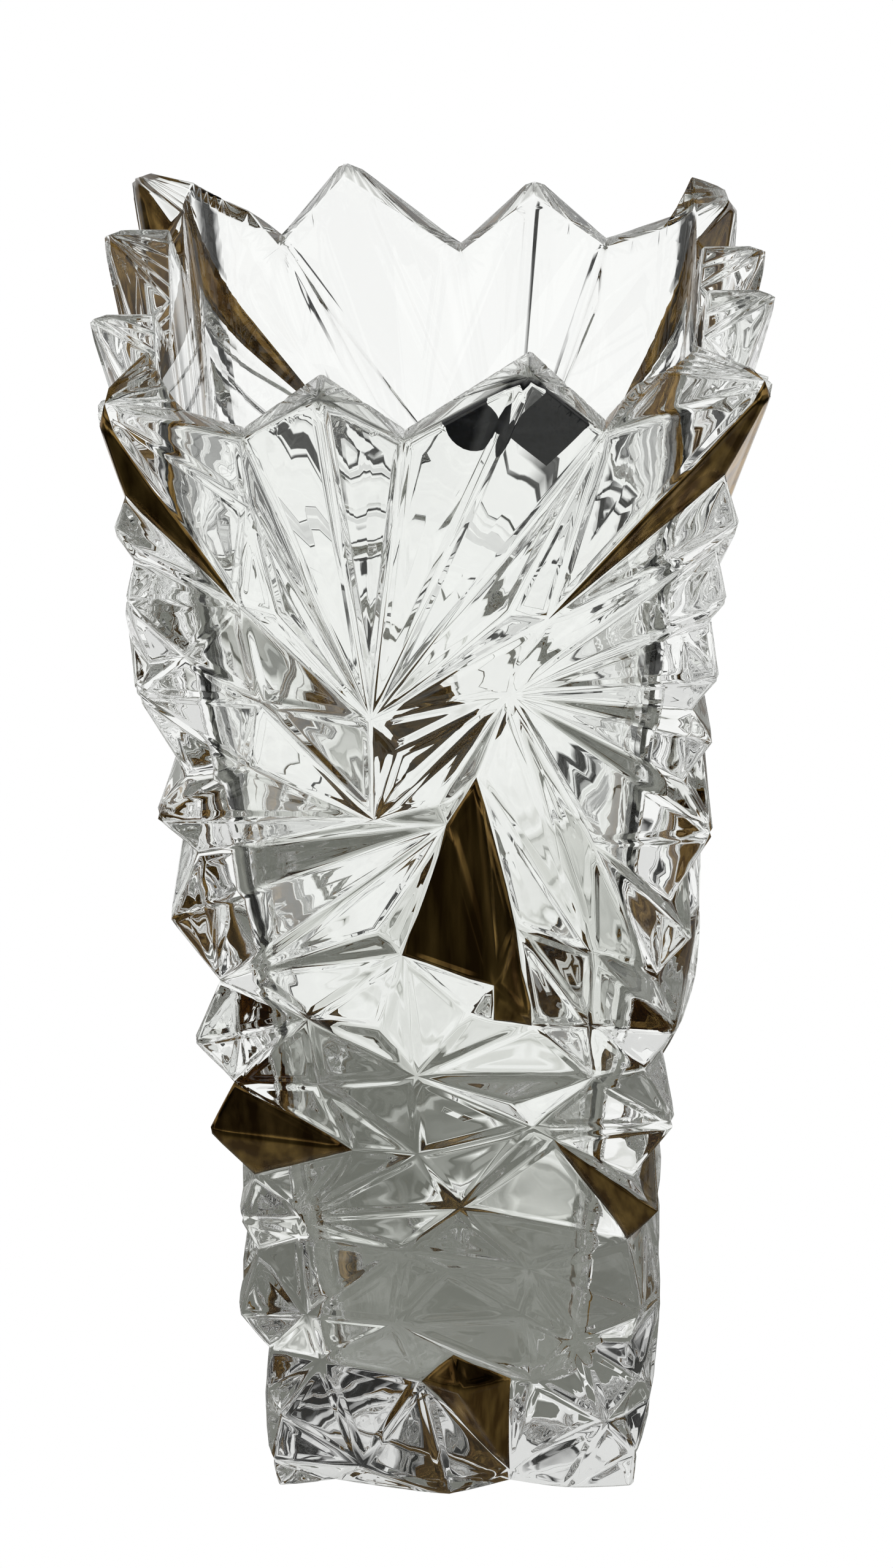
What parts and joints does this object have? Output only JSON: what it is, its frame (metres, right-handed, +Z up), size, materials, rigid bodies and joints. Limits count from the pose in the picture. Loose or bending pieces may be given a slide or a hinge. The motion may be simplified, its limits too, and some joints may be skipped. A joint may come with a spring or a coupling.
{
  "type": "cut crystal vase",
  "caption": "Tall square cut-crystal vase, wider at its crown rim, with thick walls, slanting ridges and grooves, and gilded facets.",
  "frame": {"origin": "middle of the foot's flat face, on the surface that the vase stands on", "axes": "+Z up along the vase, -Y towards the face that carries the sticker on its inside, +X to the right as seen from that side"},
  "size_m": [0.1578, 0.1578, 0.3053],
  "materials": {
    "clear_crystal": "clear, polished, colourless crystal",
    "fired_gold": "fired gold lustre, dark bronze seen head-on and pale gold at a glance",
    "navy_foil": "satin, nearly black navy, blank"
  },
  "bodies": {
    "root": {"glass_body": "clear_crystal", "gilt_sliver_front_left": "fired_gold", "gilt_sliver_front_right": "fired_gold", "gilt_sliver_back_right": "fired_gold", "gilt_sliver_back_left": "fired_gold", "gilt_kite_front": "fired_gold", "gilt_kite_right": "fired_gold", "gilt_kite_back": "fired_gold", "gilt_kite_left": "fired_gold", "gilt_spike_front_left": "fired_gold", "gilt_spike_front_right": "fired_gold", "gilt_spike_back_right": "fired_gold", "gilt_spike_back_left": "fired_gold", "gilt_foot_kite_front": "fired_gold", "gilt_foot_kite_right": "fired_gold", "gilt_foot_kite_back": "fired_gold", "gilt_foot_kite_left": "fired_gold", "blank_sticker": "navy_foil"}
  },
  "joints": []
}
